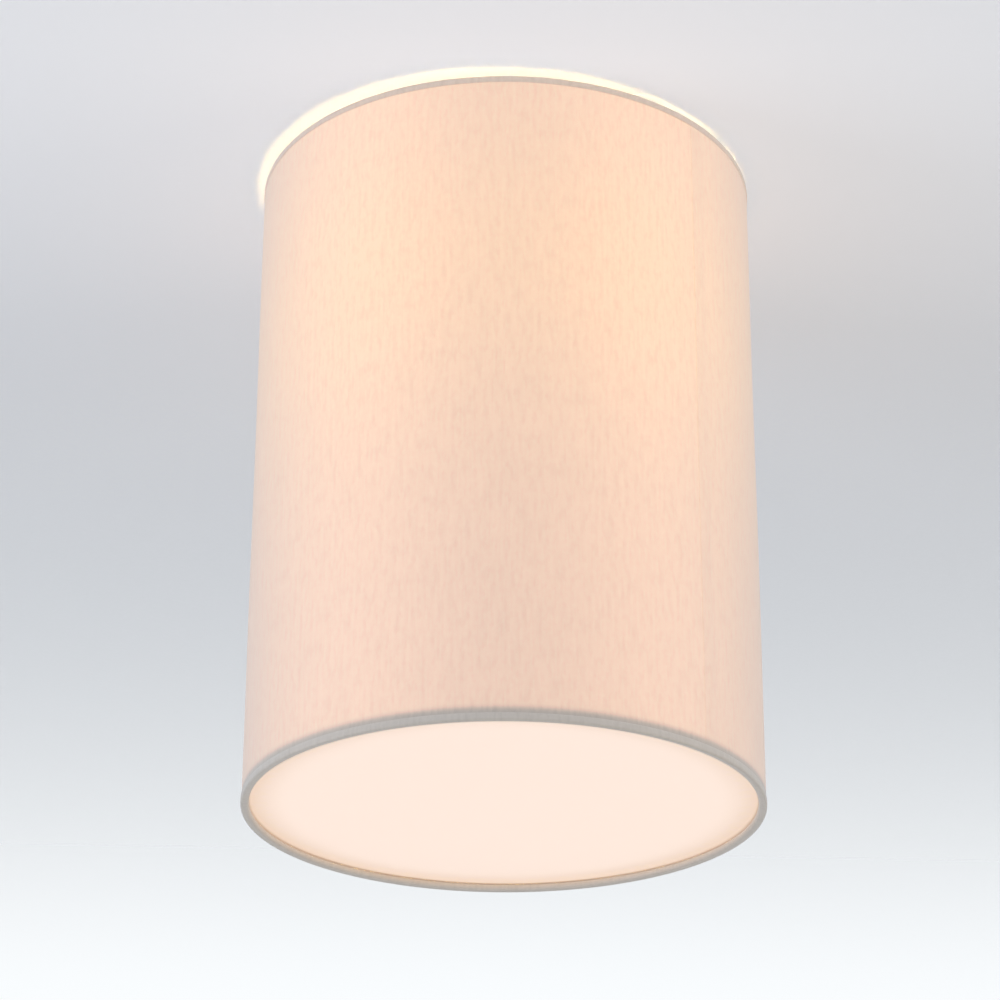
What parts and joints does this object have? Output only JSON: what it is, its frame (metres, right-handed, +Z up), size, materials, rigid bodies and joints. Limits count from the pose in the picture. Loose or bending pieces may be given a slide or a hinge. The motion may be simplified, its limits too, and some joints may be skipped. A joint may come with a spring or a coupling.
{
  "type": "flush mount ceiling light",
  "caption": "Flush mount ceiling light with a tall drum shade of white fabric on film, a wire spider under a small canopy, a screw-in lamp and an opal disc in its foot.",
  "frame": {"origin": "on the ceiling plane, at the axis of the drum, in the middle of the bracket's upper face", "axes": "+Z up along the drum's axis, -Y the side towards the viewer, +X to the viewer's right"},
  "size_m": [0.301, 0.301, 0.404],
  "materials": {
    "bracket_steel": "zinc-plated steel",
    "canopy_white": "satin white paint",
    "screw_steel": "zinc-plated screws",
    "holder_plastic": "matte white thermoplastic",
    "insert_ceramic": "unglazed white",
    "contact_brass": "bare brass",
    "lug_tin": "tinned copper lug",
    "sleeve_nickel": "nickel-plated",
    "frame_white": "white powder coat",
    "shade_fabric": "slub weave, off-white",
    "shade_film": "translucent white film",
    "disc_opal": "opal acrylic, satin",
    "bulb_metal": "nickel-plated cap",
    "bulb_solder": "solder on the contact",
    "bulb_black": "black glass insulator",
    "bulb_glass": "opal-coated glass",
    "stem_glass": "clear glass",
    "filament_yellow": "phosphor coat",
    "support_nickel": "nickel wire",
    "block_plastic": "natural nylon",
    "lead_brown": "brown lead",
    "lead_blue": "blue lead",
    "lead_green": "green and yellow lead"
  },
  "bodies": {
    "ceiling_body": {"ceiling_bracket": "bracket_steel", "bracket_ears": "bracket_steel", "canopy_pan": "canopy_white", "canopy_screws": "screw_steel", "threaded_nipple": "screw_steel", "nipple_washer": "screw_steel", "nipple_nut": "screw_steel", "holder_cap": "holder_plastic", "holder_shell": "holder_plastic", "holder_insert": "insert_ceramic", "holder_terminals": "contact_brass", "centre_contact": "contact_brass", "side_contact": "contact_brass", "thread_sleeve": "sleeve_nickel", "upper_shade_ring": "holder_plastic", "terminal_block": "block_plastic", "terminal_tubes": "contact_brass", "terminal_screws": "screw_steel", "block_screw": "screw_steel", "earth_screw": "contact_brass", "earth_lug": "lug_tin", "earth_lead": "lead_green", "live_lead": "lead_brown", "neutral_lead": "lead_blue"},
    "shade_body": {"spider_hub": "frame_white", "spider_arms": "frame_white", "top_ring_wire": "frame_white", "bottom_ring_wire": "frame_white", "fabric_skin": "shade_fabric", "film_liner": "shade_film", "seam_tape": "shade_film", "top_hem": "shade_fabric", "bottom_hem": "shade_fabric"},
    "ring_body": {"lower_shade_ring": "holder_plastic"},
    "disc_body": {"diffuser_disc": "disc_opal"},
    "bulb_body": {"bulb_button": "bulb_solder", "bulb_insulator": "bulb_black", "bulb_cap_shell": "bulb_metal", "bulb_globe": "bulb_glass", "bulb_stem": "stem_glass", "led_filaments": "filament_yellow", "filament_supports": "support_nickel"}
  },
  "joints": [
    {"name": "shade_lower", "type": "slide", "parent": "ceiling_body", "child": "shade_body", "axis": [0, 0, -1], "range_m": [0, 0.018]},
    {"name": "shade_ring_turn", "type": "hinge", "parent": "shade_body", "child": "ring_body", "pos_m": [0, 0, -0.06], "axis": [0, 0, -1], "range_deg": [0, 1441]},
    {"name": "diffuser_lift", "type": "slide", "parent": "shade_body", "child": "disc_body", "axis": [0, 0, 1], "range_m": [0, 0.18]},
    {"name": "bulb_unscrew", "type": "slide", "parent": "ceiling_body", "child": "bulb_body", "axis": [0, 0, -1], "range_m": [0, 0.022]}
  ],
  "couplings": [
    {"joint": "shade_ring_turn", "follows": "shade_lower", "rad_per_m": 1396.3}
  ]
}
